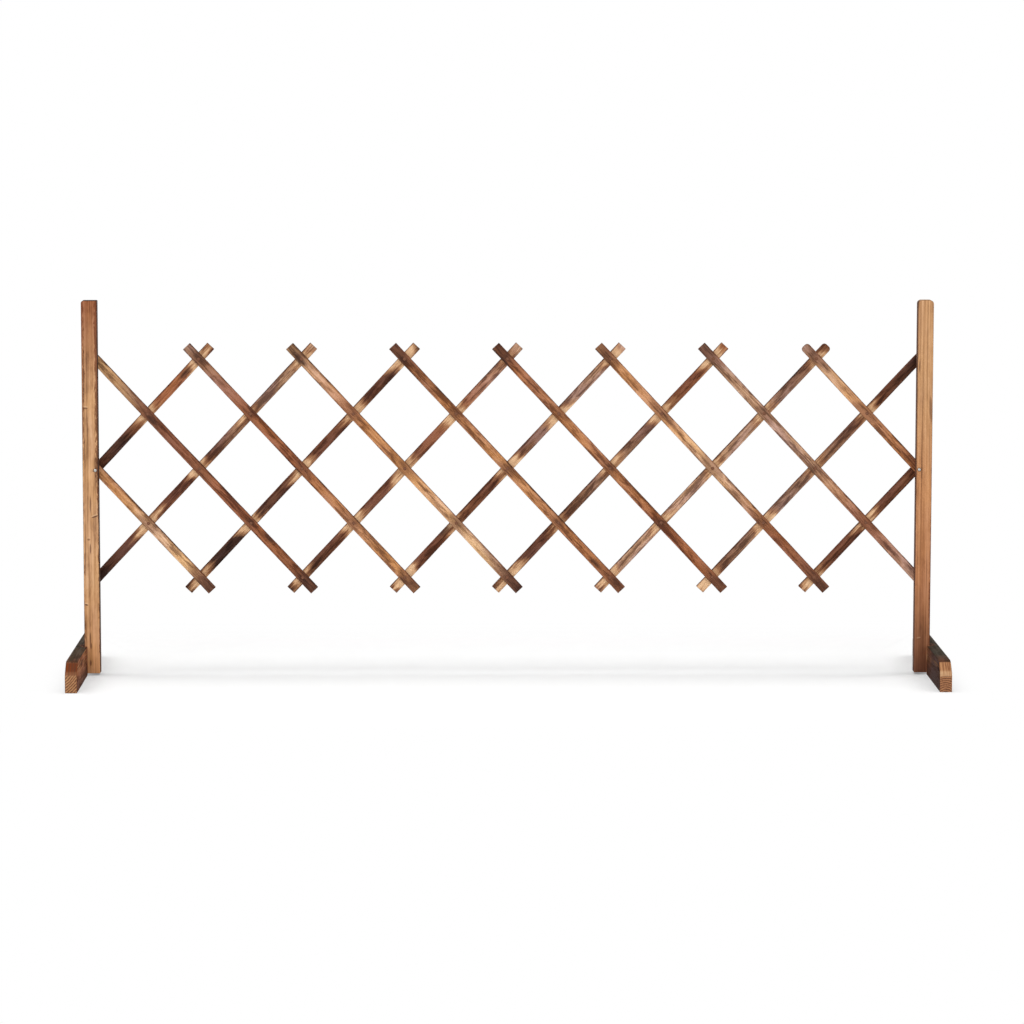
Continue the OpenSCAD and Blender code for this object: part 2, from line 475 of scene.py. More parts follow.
def turned(name, outline, segments):
    """A piece turned round Z: a disc that is grown ring by ring through pairs of radius and height."""
    radius, height = outline[0]
    bpy.ops.object.select_all(action="DESELECT")
    bpy.ops.mesh.primitive_circle_add(vertices=segments, radius=radius, fill_type="NGON",
                                      location=(0, 0, height))
    piece = new_piece(name)
    with picked(piece, "FACE", lambda face: True):
        for next_radius, next_height in outline[1:]:
            bpy.ops.mesh.extrude_region_move(
                TRANSFORM_OT_translate={"value": (0, 0, next_height - height)})
            share = next_radius / radius
            bpy.ops.transform.resize(value=(share, share, 1), center_override=(0, 0, next_height))
            radius, height = next_radius, next_height
        bpy.ops.mesh.select_all(action="SELECT")
        bpy.ops.mesh.normals_make_consistent(inside=False)
    return piece


def dome(radius, height, steps):
    """Outline of a low domed head from just beside its crown to its rim, which is at height 0."""
    left_out = 0.4
    step_angle = math.pi / 2 / (steps + left_out)
    turns = [step * step_angle for step in reversed(range(steps + 1))]
    return [(radius * math.cos(turn), -height * math.sin(turn)) for turn in turns]


def turn_to(direction):
    """The rotation that takes +Z to a direction."""
    return Vector(direction).to_track_quat("Z", "Y").to_matrix().to_4x4()


def pointed(spots, direction):
    """Matrices that take the origin to each spot and +Z to a direction."""
    turn = turn_to(direction)
    return [Matrix.Translation(spot) @ turn for spot in spots]


def place(piece, matrix):
    """Puts a piece where the matrix says, with its place in its mesh."""
    piece.matrix_world = matrix
    select_only(piece)
    bpy.ops.object.transform_apply(location=True, rotation=True, scale=True)


def copies_at(pattern, name, matrices):
    """One piece made of copies of a pattern, each put where its matrix says. The pattern is removed."""
    copies = []
    for matrix in matrices:
        copy = pattern.copy()
        copy.data = pattern.data.copy()
        bpy.context.collection.objects.link(copy)
        place(copy, matrix)
        copies.append(copy)
    select_only(*copies)
    if len(copies) > 1:
        bpy.ops.object.join()
    bpy.data.objects.remove(pattern)
    group = bpy.context.object
    group.name = name
    group.data.name = name
    return group


def drill(piece, radius, centres, direction, depth, segments=24):
    """Bores holes of one radius through a piece; each starts at its centre and runs along the direction."""
    bit = turned("bit", [(radius, 0), (radius, depth)], segments)
    combine(piece, copies_at(bit, "bits", pointed(centres, direction)), "DIFFERENCE")


def smooth(piece, angle=40):
    select_only(piece)
    bpy.ops.object.shade_smooth_by_angle(angle=math.radians(angle))


def points_of(piece):
    """The places of a piece's points, as the rows of an array."""
    points = np.empty(3 * len(piece.data.vertices), np.float32)
    piece.data.vertices.foreach_get("co", points)
    return points.reshape(-1, 3)


def store(piece, name, kind, values):
    """Keeps values on a piece's points, for its material to read."""
    field = {"FLOAT": "value", "FLOAT_VECTOR": "vector", "FLOAT_COLOR": "color"}[kind]
    piece.data.attributes.new(name, kind, "POINT").data.foreach_set(field, np.ravel(values))


def hand_over(piece, node, material):
    """Sets a finished piece in the place of its CAD node: in the same body, with the node hidden."""
    piece.data.materials.clear()
    piece.data.materials.append(material)
    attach(piece, frame["nodes"][node]["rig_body"])
    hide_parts(node)


# Boards


class Board:
    """A CAD board seen in its own axes: where it lies and how far it reaches."""

    def __init__(self, node, matrix):
        self.node = node
        self.matrix = matrix
        local = self.in_own_axes(points_of(frame["nodes"][node]))
        self.low = Vector(local.min(0))
        self.high = Vector(local.max(0))

    def in_own_axes(self, points):
        inverse = np.array(self.matrix.inverted())
        return points @ inverse[:3, :3].T + inverse[:3, 3]

    @property
    def length(self):
        return self.high.x - self.low.x

    @property
    def thickness(self):
        return self.high.y - self.low.y

    @property
    def half_width(self):
        return (self.high.z - self.low.z) / 2

    def sawn(self, section):
        """The board as a box, cross-cut into short sections so that it can wander and change tone."""
        piece = add_box("scorched_" + self.node, self.low, self.high)
        cuts = max(1, round(self.length / section) - 1)
        with picked(piece, "EDGE", lambda edge: runs_along(edge, ALONG)):
            bpy.ops.mesh.subdivide(number_cuts=cuts)
        return piece

    def stained(self, piece, tones, seed, contact=1):
        """Stores on each point its place in the board, which way it faces and the scorch tone there.

        The place is the distance along the grain, across it, and in from the face that touches
        the neighbouring layer: the lower (-1) or upper (1) end of the board's own Y axis.
        """
        local = self.in_own_axes(points_of(piece))
        middle = (self.low.z + self.high.z) / 2
        depth = self.high.y - local[:, 1] if contact > 0 else local[:, 1] - self.low.y
        store(piece, "grain", "FLOAT_VECTOR", np.stack((local[:, 0], local[:, 2] - middle, depth), axis=1))

        normals = np.empty(3 * len(local), np.float32)
        piece.data.vertex_normals.foreach_get("vector", normals)
        store(piece, "facing", "FLOAT_VECTOR", normals.reshape(-1, 3) @ np.array(self.matrix.to_3x3()))

        palette = bpy.context.scene.trellis_tones
        stops = np.array([getattr(palette, tone) for tone in tones])
        share = (local[:, 0] - self.low.x) / self.length * (len(tones) - 1)
        colour = [np.interp(share, range(len(tones)), stops[:, channel]) for channel in range(3)]
        store(piece, "tone", "FLOAT_COLOR", np.stack((*colour, np.full(len(share), seed)), axis=1))


# Layout of the lattice, from the frame's joints


def is_at_post(column):
    return column in (0, COLUMNS)


class Lattice:
    """Where the pins of the opened lattice are."""

    def __init__(self):
        places = {joint["name"]: Vector(joint["pos_m"]) for joint in frame["joints"]}
        self.left_pin = places["fold"]
        self.right_pin = places["right_stand_pivot"]
        self.column_pitch = (self.right_pin.x - self.left_pin.x) / COLUMNS
        top_of_back_lath = places["front_lath_3_pivot"]
        self.row_pitch = (top_of_back_lath.z - self.left_pin.z) / (ROWS / 2)
        self.pin_pitch = math.hypot(self.column_pitch, self.row_pitch)
        self.angle = math.atan2(self.row_pitch, self.column_pitch)

    def columns(self, number):
        """The columns that a lath spans: five pins, unless a post cuts it short."""
        start = 2 * (number - 2)
        return range(max(0, start), min(COLUMNS, start + ROWS) + 1)

    def row(self, number, lean, column):
        step = column - 2 * (number - 2)
        return step if lean == FALLS else ROWS - step

    def pin(self, number, lean, column, y):
        row = self.row(number, lean, column)
        x = self.left_pin.x + column * self.column_pitch
        return Vector((x, y, self.left_pin.z + (ROWS / 2 - row) * self.row_pitch))

    def rivets(self, number, lean, y):
        """Centres of a lath's pins away from the posts."""
        columns = [column for column in self.columns(number) if not is_at_post(column)]
        return [self.pin(number, lean, column, y) for column in columns]

    def bolts(self, number, lean, y):
        """Centre of the pin that holds a lath to a post, if it has one."""
        columns = [column for column in self.columns(number)
                   if is_at_post(column) and self.row(number, lean, column) == ROWS // 2]
        return [self.pin(number, lean, column, y) for column in columns]

    def lath(self, layer, number):
        lean = LAYERS[layer]
        node = f"{layer}_lath_{number}"
        start = self.pin(number, lean, self.columns(number)[0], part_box(node)[0].y)
        return Board(node, Matrix.Translation(start) @ Matrix.Rotation(lean * self.angle, 4, "Y"))


LATTICE = Lattice()


# Shader tools


def shaded(colour, share):
    """A colour made lighter or darker."""
    return tuple(share * channel for channel in colour)


class Value:
    """A shader socket that Python arithmetic works on: each operation adds its Math node."""

    def __init__(self, finish, socket):
        self.finish = finish
        self.socket = socket

    def math(self, operation, *others, clamp=False):
        settings = {"operation": operation, "use_clamp": clamp}
        return self.finish.add("ShaderNodeMath", settings, dict(enumerate((self, *others))))

    __add__ = partialmethod(math, "ADD")
    __radd__ = __add__
    __sub__ = partialmethod(math, "SUBTRACT")
    __mul__ = partialmethod(math, "MULTIPLY")
    __truediv__ = partialmethod(math, "DIVIDE")
    __pow__ = partialmethod(math, "POWER")
    __abs__ = partialmethod(math, "ABSOLUTE")

    def __rsub__(self, other):
        return self.finish.add("ShaderNodeMath", {"operation": "SUBTRACT"}, {0: other, 1: self})

    def clamped(self):
        return self.math("ADD", 0.0, clamp=True)

    def rising(self, start, end):
        """Smoothly from 0 at start to 1 at end, which may be the lower of the two."""
        settings = {"interpolation_type": "SMOOTHSTEP"}
        low, high, first, last = (start, end, 0.0, 1.0) if start < end else (end, start, 1.0, 0.0)
        return self.finish.add("ShaderNodeMapRange", settings, {0: self, 1: low, 2: high, 3: first, 4: last})


class Finish:
    """The nodes of a material or a world, and the one way in which they are added."""

    # Sockets of the Mix node that carry colours.
    FIRST_COLOUR, SECOND_COLOUR, MIXED_COLOUR = 6, 7, 2

    def __init__(self, owner):
        owner.use_nodes = True
        self.owner = owner
        self.tree = owner.node_tree
        self.tree.nodes.clear()

    def add(self, kind, settings=None, inputs=None, output=0):
        node = self.tree.nodes.new(kind)
        for name, value in (settings or {}).items():
            setattr(node, name, value)
        for key, value in (inputs or {}).items():
            if isinstance(value, Value):
                self.tree.links.new(value.socket, node.inputs[key])
            else:
                node.inputs[key].default_value = value
        return Value(self, node.outputs[output]) if node.outputs else None

    def attribute(self, name, output):
        return self.add("ShaderNodeAttribute", {"attribute_name": name}, output=output)

    def split(self, vector):
        node = self.add("ShaderNodeSeparateXYZ", inputs={0: vector}).socket.node
        return [Value(self, socket) for socket in node.outputs]

    def stretched(self, vector, scale, shift):
        inputs = {0: vector, 1: scale, 2: shift}
        return self.add("ShaderNodeVectorMath", {"operation": "MULTIPLY_ADD"}, inputs)

    def noise(self, vector, scale, detail, roughness=0.55, shift=(0, 0, 0)):
        """A noise whose scale along each axis of the vector is per metre."""
        inputs = {"Vector": self.stretched(vector, scale, shift), "Scale": 1.0, "Detail": detail,
                  "Roughness": roughness}
        return self.add("ShaderNodeTexNoise", inputs=inputs)

    def mix(self, share, first, second, blend="MIX"):
        settings = {"data_type": "RGBA", "blend_type": blend}
        first, second = ((*c, 1.0) if isinstance(c, tuple) else c for c in (first, second))
        inputs = {0: share, self.FIRST_COLOUR: first, self.SECOND_COLOUR: second}
        return self.add("ShaderNodeMix", settings, inputs, self.MIXED_COLOUR)

    def bump(self, height, distance, strength):
        inputs = {"Height": height, "Distance": distance, "Strength": strength}
        return self.add("ShaderNodeBump", inputs=inputs)

    def surface(self, **inputs):
        """Ends the tree in a Principled shader; a word of a socket's name is joined to the next by _."""
        named = {name.replace("_", " "): value for name, value in inputs.items()}
        shader = self.add("ShaderNodeBsdfPrincipled", inputs=named)
        self.add("ShaderNodeOutputMaterial", inputs={"Surface": shader})
        return self.owner


# Wood


class Figure(NamedTuple):
    """A noise in the wood: its scale per metre along and across the grain, its detail and its roughness."""

    along: float
    across: float
    detail: float = 2.0
    roughness: float = 0.55


class Scorched(Finish):
    """Scorched softwood, read from a board's grain, facing and tone."""

    BLOTCHES = Figure(11, 30, 3)
    STREAKS = Figure(8, 150, 5, 0.62)
    MOTTLE = Figure(85, 330, 3, 0.6)
    FIBRES = Figure(40, 1100, 3)
    LICKS = Figure(24, 75)
    BENDS = Figure(4, 14)
    LINES = Figure(1.5, 210, 3, 0.6)
    HUES = Figure(9, 42)
    KNOT_SCALE = (5.0, 16.0, 0.0)
    # How far apart in the noises two boards are, by their seeds.
    SEED_STEPS = (31.0, 17.0, 23.0)
    # How far the pith's place differs between boards, and how far a knot and a streak push the rings.
    PITH_SPREAD = 30 * MM
    KNOT_PUSH = 5 * MM
    STREAK_PUSH = 4 * MM
    # What the tone is multiplied by where the flame was weak, middling and strong.
    LIGHT = (1.32, 1.34, 1.36)
    WARM = (0.98, 0.89, 0.79)
    DARK = (0.4, 0.33, 0.3)
    COOL_TINT = (0.98, 0.98, 1.12)
    WARM_TINT = (1.05, 1.01, 0.89)
    # How far blotches and streaks move the border of a scorch mark.
    BLOTCH_REACH = 110 * MM
    STREAK_REACH = 60 * MM
    # Depths between which a lath's touching face fades out, and between which its open face begins.
    TOUCHING = (4 * MM, 0.5 * MM)
    OPEN = (4 * MM, 7 * MM)
    # How dark plain wood and the late wood of a ring are, and how deep the grain is.
    PLAIN_SHADE = 0.4
    LATE_SHADE = 0.35
    BUMP_DEPTH = 0.5 * MM
    SHINE = 0.15
    DULL_SHINE = 0.05

    def __init__(self, name, half_width, ring_gap, pith, sway, contrast=1.0, knotty=1.0, straight=0.0):
        super().__init__(bpy.data.materials.new(name))
        self.half_width = half_width
        self.palette = bpy.context.scene.trellis_tones
        self.grain = self.attribute("grain", "Vector")
        self.tone = self.attribute("tone", "Color")
        self.along, self.across, self.depth = self.split(self.grain)
        self.ends, self.faces, self.sides = self.split(self.attribute("facing", "Vector"))
        seed = self.attribute("tone", "Alpha")
        steps = {axis: seed * step for axis, step in enumerate(self.SEED_STEPS)}
        self.shift = self.add("ShaderNodeCombineXYZ", inputs=steps)
        self.blotch = self.figure(self.BLOTCHES)
        self.streak = self.figure(self.STREAKS)
        self.mottle = self.figure(self.MOTTLE)
        self.fibre = self.figure(self.FIBRES)
        self.knot = self.knots() * knotty
        self.ring = self.rings(ring_gap, pith, sway, seed)
        self.late = self.ring ** 2.0
        self.shade = self.shading(contrast, straight)
        self.colour = self.singed(contrast)

    def figure(self, figure):
        scale = (figure.along, figure.across, figure.across)
        return self.noise(self.grain, scale, figure.detail, figure.roughness, self.shift)

    def knots(self):
        """One inside a knot, falling to nothing round it; most places have none."""
        inputs = {"Vector": self.stretched(self.grain, self.KNOT_SCALE, self.shift), "Scale": 1.0}
        distance = self.add("ShaderNodeTexVoronoi", {"voronoi_dimensions": "2D"}, inputs, "Distance")
        chance = Value(self, distance.socket.node.outputs["Color"])
        here = self.split(chance)[0].rising(0.72, 0.74)
        return distance.rising(0.15, 0.03) * here

    def rings(self, ring_gap, pith, sway, seed):
        """From 0 to 1 through each growth ring. Rings lie round the pith and bend past knots."""
        side = self.across - (pith[0] + (seed - 0.5) * self.PITH_SPREAD)
        back = self.depth + pith[1]
        radius = (side * side + back * back) ** 0.5 + self.figure(self.BENDS) * sway
        radius = radius + self.knot * self.KNOT_PUSH + (self.streak - 0.5) * self.STREAK_PUSH
        return (radius / ring_gap).math("FRACT")

    def shading(self, contrast, straight):
        """How dark the figure of the wood is, from 0 to 1."""
        licked = self.figure(self.LICKS).rising(0.43, 0.6)
        weights = ((self.streak, 2.4), (self.blotch, 1.6), (licked, 0.35), (self.mottle, 0.75),
                   (self.fibre, 0.6))
        shade = self.late * self.LATE_SHADE
        for noise, weight in weights:
            shade = shade + (noise - 0.5) * weight
        lines = (self.figure(self.LINES) - 0.5) * straight
        return (shade * contrast + lines + self.PLAIN_SHADE).clamped()

    def singed(self, contrast):
        """The board's tone, lightened and darkened by its figure, with slight changes of hue."""
        light, warm, dark = (self.mix(1.0, self.tone, share, "MULTIPLY")
                             for share in (self.LIGHT, self.WARM, self.DARK))
        mellow = self.mix(self.shade.rising(0.0, 0.55), light, warm)
        burnt = self.mix(self.shade.rising(0.4, 1.0), mellow, dark)
        hue = (self.figure(self.HUES).rising(0.36, 0.64) - 0.5) * contrast + 0.5
        return self.mix(1.0, burnt, self.mix(hue, self.COOL_TINT, self.WARM_TINT), "MULTIPLY")

    def toned(self, name, share=1.0):
        return shaded(getattr(self.palette, name), share)

    def cover(self, share, colour):
        """Lays a colour over what is there; the share may vary over the surface."""
        self.colour = self.mix(share, self.colour, colour)

    def grained(self, light, dark):
        return self.mix(self.shade, light, dark)

    def scorch_by_crossings(self, pitch):
        """Beside each crossing the flame left the touching face pale; it darkened the open face and tips."""
        ragged = self.along.math("PINGPONG", pitch / 2)
        ragged = ragged + (self.blotch - 0.5) * self.BLOTCH_REACH + (self.streak - 0.5) * self.STREAK_REACH
        touching = self.depth.rising(*self.TOUCHING)
        open_face = self.depth.rising(*self.OPEN)
        crossed = 1.0 - self.attribute("at_post", "Fac")
        for mark in CROSSING_MARKS:
            face = touching if mark.touching else open_face
            share = ragged.rising(mark.edge * MM, mark.full * MM) * face * crossed * mark.strength
            self.cover(share, self.grained(self.toned(*mark.light), self.toned(*mark.dark)))
        tip = self.attribute("tip", "Fac") + (self.blotch - 0.5) * 0.8
        self.cover(tip.rising(0.2, 0.6) * open_face * 0.7,
                   self.grained(self.toned("umber", 0.9), self.toned("char")))

    def burn_edge(self, burn):
        """Darkens the wide faces along one edge, with a ragged border."""
        ragged = burn.ragged * MM
        reach = self.across * burn.edge + (self.streak - 0.5) * ragged + (self.mottle - 0.5) * ragged
        if burn.wider:
            reach = reach + self.along.rising(burn.narrow_at * MM, burn.wide_at * MM) * (burn.wider * MM)
        share = reach.rising(self.half_width - burn.width * MM, self.half_width)
        self.cover(share * burn.strength, self.grained(self.toned("rust", 1.1), self.toned("char", 0.7)))

    def burn_sides(self, strength, light, dark):
        """Blackens the narrow faces and the arrises beside them."""
        narrow = abs(self.sides).rising(0.45, 0.85)
        self.cover(narrow * strength, self.grained(self.toned("umber", light), self.toned("char", dark)))

    def burn_ends(self, strength, share=1.0):
        burnt = self.grained(self.toned("umber", share), self.toned("char", share))
        self.cover(abs(self.ends).rising(0.3, 0.7) * strength, burnt)

    def add_flaws(self, flaws, front):
        """Draws knots and cracks on the face at the given depth."""
        here = self.depth.rising(front / 2, front)
        wobble = (self.blotch - 0.5) * 1.5
        for flaw in flaws:
            turn = math.radians(flaw.turn)
            rise = self.along - flaw.height * MM
            aside = self.across - flaw.across * MM
            up = (rise * math.cos(turn) + aside * math.sin(turn)) / (flaw.half_height * MM)
            wide = (aside * math.cos(turn) - rise * math.sin(turn)) / (flaw.half_width * MM) + wobble
            if flaw.spike:
                # Painted highlight: a pale lip along the upper side of a spike knot.
                lip = up - 1.5
                pale = (lip * lip + wide * wide * 0.8).rising(1.4, 0.2) * here
                self.cover(pale * (flaw.strength * 0.6), self.toned("pale", 1.1))
            inside = (up * up + wide * wide).rising(1.3, 0.2) * here
            self.cover(inside * flaw.strength, self.toned("umber", 0.8))

    def finished(self, shine):
        self.cover((self.knot * 0.75).clamped(), self.toned("char", 0.8))
        height = self.fibre * 0.5 + self.streak * 0.6 - self.late * 0.35 - self.knot * 0.4
        return self.surface(Base_Color=self.colour, Roughness=(0.66 + self.shade * 0.25).clamped(),
                            Normal=self.bump(height, self.BUMP_DEPTH, 0.6), Specular_IOR_Level=shine)


def lath_wood(board):
    wood = bpy.context.scene.trellis_wood
    finish = Scorched("scorched_lath_wood", board.half_width, wood.lath_rings,
                      pith=(6 * MM, 24 * MM), sway=22 * MM)
    finish.scorch_by_crossings(LATTICE.pin_pitch)
    for burn in LATH_BURNS:
        finish.burn_edge(burn)
    finish.burn_sides(strength=0.75, light=0.6, dark=0.5)
    finish.burn_ends(strength=0.5)
    return finish.finished(finish.SHINE)


def post_wood(side, board):
    wood = bpy.context.scene.trellis_wood
    look = POST_LOOKS[side]
    finish = Scorched(f"scorched_{side}_post_wood", board.half_width, wood.post_rings,
                      pith=(4 * MM, 30 * MM), sway=8 * MM,
                      contrast=look.contrast, knotty=0.0, straight=look.straight)
    finish.add_flaws(POST_FLAWS[side], board.thickness)
    for burn in POST_BURNS[side]:
        finish.burn_edge(burn)
    finish.burn_sides(strength=0.9, light=look.side_share, dark=look.side_share)
    finish.burn_ends(look.top_burn, share=0.5)
    return finish.finished(finish.SHINE)


def foot_wood(side, board):
    """Dark sides with painted shade low down, a greyed top, streaked slopes with a painted highlight below
    each, and, on the end faces, growth rings cut across.
    """
    wood = bpy.context.scene.trellis_wood
    cut = FOOT_CUTS[side]
    pith = tuple(distance * MM for distance in cut.pith)
    finish = Scorched(f"scorched_{side}_foot_wood", board.half_width, wood.foot_rings, pith, sway=12 * MM)
    upper = finish.across.rising(-12 * MM, 14 * MM)
    finish.cover(finish.streak.rising(0.52, 0.62) * upper * cut.side_streaks, finish.toned("honey"))
    # Painted shade: each side darkens towards the bottom, where the foot meets the floor.
    lower = finish.across.rising(14 * MM, -24 * MM)
    finish.cover(lower * 0.65, finish.toned("char", 0.8))
    on_top = finish.sides.rising(0.75, 0.95)
    near_front = finish.along.rising(board.low.x + 120 * MM, board.low.x + 30 * MM)
    film = finish.mix(near_front, finish.toned("soot"), finish.toned(cut.top))
    finish.cover(on_top * 0.9, finish.grained(film, finish.toned("soot", 0.5)))
    arris = abs(finish.sides).rising(0.25, 0.5) * abs(finish.faces).rising(0.25, 0.5)
    finish.cover(arris * 0.8, finish.toned("char", 0.3))

    saw_marks = finish.noise(finish.grain, (0.0, 25.0, 380.0), 3.0).rising(0.36, 0.64)
    sawn = finish.mix(saw_marks, finish.toned(cut.light_saw, 1.1), finish.toned(cut.dark_saw, 0.8))
    stripes = (abs(finish.ring - 0.5).rising(0.04, 0.46) + (finish.mottle - 0.5) * 1.6).clamped()
    rings = finish.mix(stripes, finish.toned(cut.light_ring, 1.05), finish.toned(cut.dark_ring, 0.9))
    sloping = abs(finish.ends).rising(0.45, 0.6)
    upright = abs(finish.ends).rising(0.88, 0.98)
    finish.cover(sloping, sawn)
    finish.cover(upright, rings)
    # Painted highlight: a pale band along the rounded turn where each slope meets the end face.
    meeting = board.half_width - wood.foot_slope
    band = abs(finish.across - meeting).rising(9 * MM, 3 * MM) * sloping
    finish.cover(band * cut.painted_highlight, finish.mix(saw_marks, finish.toned("pale"), finish.toned("honey")))
    return finish.finished(finish.DULL_SHINE)


# Metal


def zinc_plate():
    """Bright zinc, dark and dull towards the rim of a bolt's head, which is painted shade stored on the
    bolt's points.
    """
    name = "bright_zinc_plate"
    if name in bpy.data.materials:
        return bpy.data.materials[name]
    fasteners = bpy.context.scene.trellis_fasteners
    metal = Finish(bpy.data.materials.new(name))
    place_on = metal.add("ShaderNodeTexCoord", output="Object")
    cloud = metal.noise(place_on, (900.0, 900.0, 900.0), 3.0)
    scuff = metal.noise(place_on, (400.0, 2600.0, 400.0), 2.0)
    plate = metal.mix(cloud, tuple(fasteners.zinc), shaded(fasteners.zinc, 0.78))
    # Painted shade: the bolt head turns dark and dull towards its rim.
    grime = (metal.attribute("grime", "Fac") + (cloud - 0.5) * 0.5).rising(0.45, 0.85) * 0.9
    colour = metal.mix(grime, plate, shaded(fasteners.lacquer, 0.5))
    return metal.surface(Base_Color=colour, Metallic=1.0 - grime, Roughness=0.2 + cloud * 0.15 + scuff * 0.15,
                         Normal=metal.bump(scuff, 0.05 * MM, 0.4))


def brown_lacquer():
    """Lacquered steel that turns to bare steel on its crowns, partly as wear and partly as a painted
    highlight; the amount is stored on the rivets' points.
    """
    fasteners = bpy.context.scene.trellis_fasteners
    metal = Finish(bpy.data.materials.new("brown_lacquered_steel"))
    place_on = metal.add("ShaderNodeTexCoord", output="Object")
    speckle = metal.noise(place_on, (1300.0, 1300.0, 1300.0), 3.0)
    # Partly wear and partly a painted highlight: each rivet's crown turns to bare, metallic steel.
    crown_wear_and_highlight = (metal.attribute("wear", "Fac") * 0.9 + (speckle - 0.5) * 1.3).rising(0.6, 0.95) * 0.12
    coat = metal.mix(speckle, shaded(fasteners.lacquer, 1.15), shaded(fasteners.lacquer, 0.75))
    colour = metal.mix(crown_wear_and_highlight, coat, shaded(fasteners.zinc, 0.6))
    return metal.surface(Base_Color=colour, Metallic=crown_wear_and_highlight, Roughness=0.55 - crown_wear_and_highlight * 0.12,
                         Normal=metal.bump(speckle, 0.04 * MM, 0.4), Specular_IOR_Level=0.2)


# Operators


class TRELLIS_OT_laths(bpy.types.Operator):
    """Saws, rounds, drills and stains the laths of both layers."""

    bl_idname = "trellis.laths"
    bl_label = "Add Laths"

    # The laths whose upper end is rounded, and which end of the board's own X axis that is.
    ROUNDED = {"front_lath_9": "low", "back_lath_7": "high"}
    # How far the flame reached in from a free end, and the front laths whose upper ends it spared.
    TIP = 75 * MM
    LIGHT_TOPS = ("front_lath_3", "front_lath_9")
    # Length over which a sawn edge wanders, and how the seeds of neighbouring laths differ.
    WANDER_LENGTH = 0.05
    SEED_STEP = 0.37
    BACK_SEED = 0.19

    def execute(self, context):
        material = None
        for layer, lean in LAYERS.items():
            touches = 1 if layer == "front" else -1
            first_seed = self.BACK_SEED if layer == "back" else 0
            for number in range(1, LATH_COUNT + 1):
                board = LATTICE.lath(layer, number)
                material = material or lath_wood(board)
                lath = self.model(context, board)
                self.bore(context, lath, board, number, lean)
                smooth(lath)
                seed = (number * self.SEED_STEP + first_seed) % 1
                board.stained(lath, LATH_TONES[layer][number - 1], seed, touches)
                self.mark_ends(lath, board)
                hand_over(lath, board.node, material)
        return {"FINISHED"}

    def model(self, context, board):
        wood = context.scene.trellis_wood
        lath = board.sawn(wood.lath_section)
        if board.node in self.ROUNDED:
            end = getattr(board, self.ROUNDED[board.node]).x
            with picked(lath, "EDGE", through_at([(end, board.low.z), (end, board.high.z)])):
                bpy.ops.mesh.bevel(offset=wood.lath_corner, segments=6, affect="EDGES")
        ease_edges(lath, wood.lath_ease)
        lath.matrix_world = board.matrix
        saw = bpy.data.textures.get("saw_wander") or bpy.data.textures.new("saw_wander", "CLOUDS")
        saw.noise_scale = self.WANDER_LENGTH
        apply_modifier(lath, "DISPLACE", texture=saw, texture_coords="GLOBAL", direction="Z",
                       strength=wood.lath_wander)
        place(lath, board.matrix)
        return lath

    def bore(self, context, lath, board, number, lean):
        fasteners = context.scene.trellis_fasteners
        gap = context.scene.trellis_wood.hole_gap
        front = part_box(board.node)[0].y - CUT_OVER
        depth = board.thickness + 2 * CUT_OVER
        drill(lath, fasteners.rivet_shank + gap, LATTICE.rivets(number, lean, front), BACKWARDS, depth)
        bolts = LATTICE.bolts(number, lean, front)
        if bolts:
            drill(lath, fasteners.bolt_shank + gap, bolts, BACKWARDS, depth)

    def mark_ends(self, lath, board):
        """Stores how near each point is to a post, where no lath crosses in sight, or to a free end."""
        points = points_of(lath)
        from_pin = np.minimum(points[:, 0] - LATTICE.left_pin.x, LATTICE.right_pin.x - points[:, 0])
        # One up to a quarter of a column from the post's pins, nothing from half a column on.
        at_post = np.clip(2 - 4 * from_pin / LATTICE.column_pitch, 0, 1)
        along = board.in_own_axes(points)[:, 0]
        from_end = board.high.x - along
        if board.node not in self.LIGHT_TOPS:
            from_end = np.minimum(from_end, along - board.low.x)
        store(lath, "at_post", "FLOAT", at_post)
        store(lath, "tip", "FLOAT", np.clip(1 - from_end / self.TIP, 0, 1) * (1 - at_post))


class FootScrews:
    """The two screws of a foot: which way they point, how large they are and where their heads lie."""

    def __init__(self, side):
        self.node = side + "_foot_screws"
        low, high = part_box(self.node)
        self.length = high.x - low.x
        self.head = (high.y - low.y) / 2
        self.inwards = (1, 0, 0) if side == "left" else (-1, 0, 0)
        outer = low.x if side == "left" else high.x
        self.centres = [Vector((outer, 0, z)) for z in (low.z + self.head, high.z - self.head)]


class TRELLIS_OT_posts(bpy.types.Operator):
    """Planes the two posts, rounds their tops and bores them for bolt and screws."""

    bl_idname = "trellis.posts"
    bl_label = "Add Posts"

    def execute(self, context):
        wood = context.scene.trellis_wood
        fasteners = context.scene.trellis_fasteners
        upright = Matrix.Rotation(-math.pi / 2, 4, "Y")
        pins = {"left": LATTICE.left_pin, "right": LATTICE.right_pin}
        for side in SIDES:
            board = Board(side + "_post", upright)
            post = board.sawn(wood.post_section)
            self.round_top(post, board, self.corners(wood)[side])
            ease_edges(post, wood.post_ease)
            place(post, board.matrix)
            start = Vector((pins[side].x, board.low.y - CUT_OVER, pins[side].z))
            drill(post, fasteners.bolt_shank + wood.hole_gap, [start], BACKWARDS,
                  board.thickness + 2 * CUT_OVER)
            screws = FootScrews(side)
            drill(post, fasteners.screw_shank + wood.hole_gap, screws.centres, screws.inwards,
                  screws.length + CUT_OVER)
            smooth(post)
            board.stained(post, POST_TONES[side], POST_LOOKS[side].seed)
            hand_over(post, board.node, post_wood(side, board))
        return {"FINISHED"}

    def corners(self, wood):
        """Radii at each post's top, of its right corner and its left corner as seen from the front."""
        return {
            "left": (wood.square_corner, wood.post_corner),
            "right": (wood.round_corner, wood.round_corner),
        }

    def round_top(self, post, board, radii):
        for edge_at, radius in zip((board.low.z, board.high.z), radii):
            with picked(post, "EDGE", through_at([(board.high.x, edge_at)])):
                bpy.ops.mesh.bevel(offset=radius, segments=5, affect="EDGES")


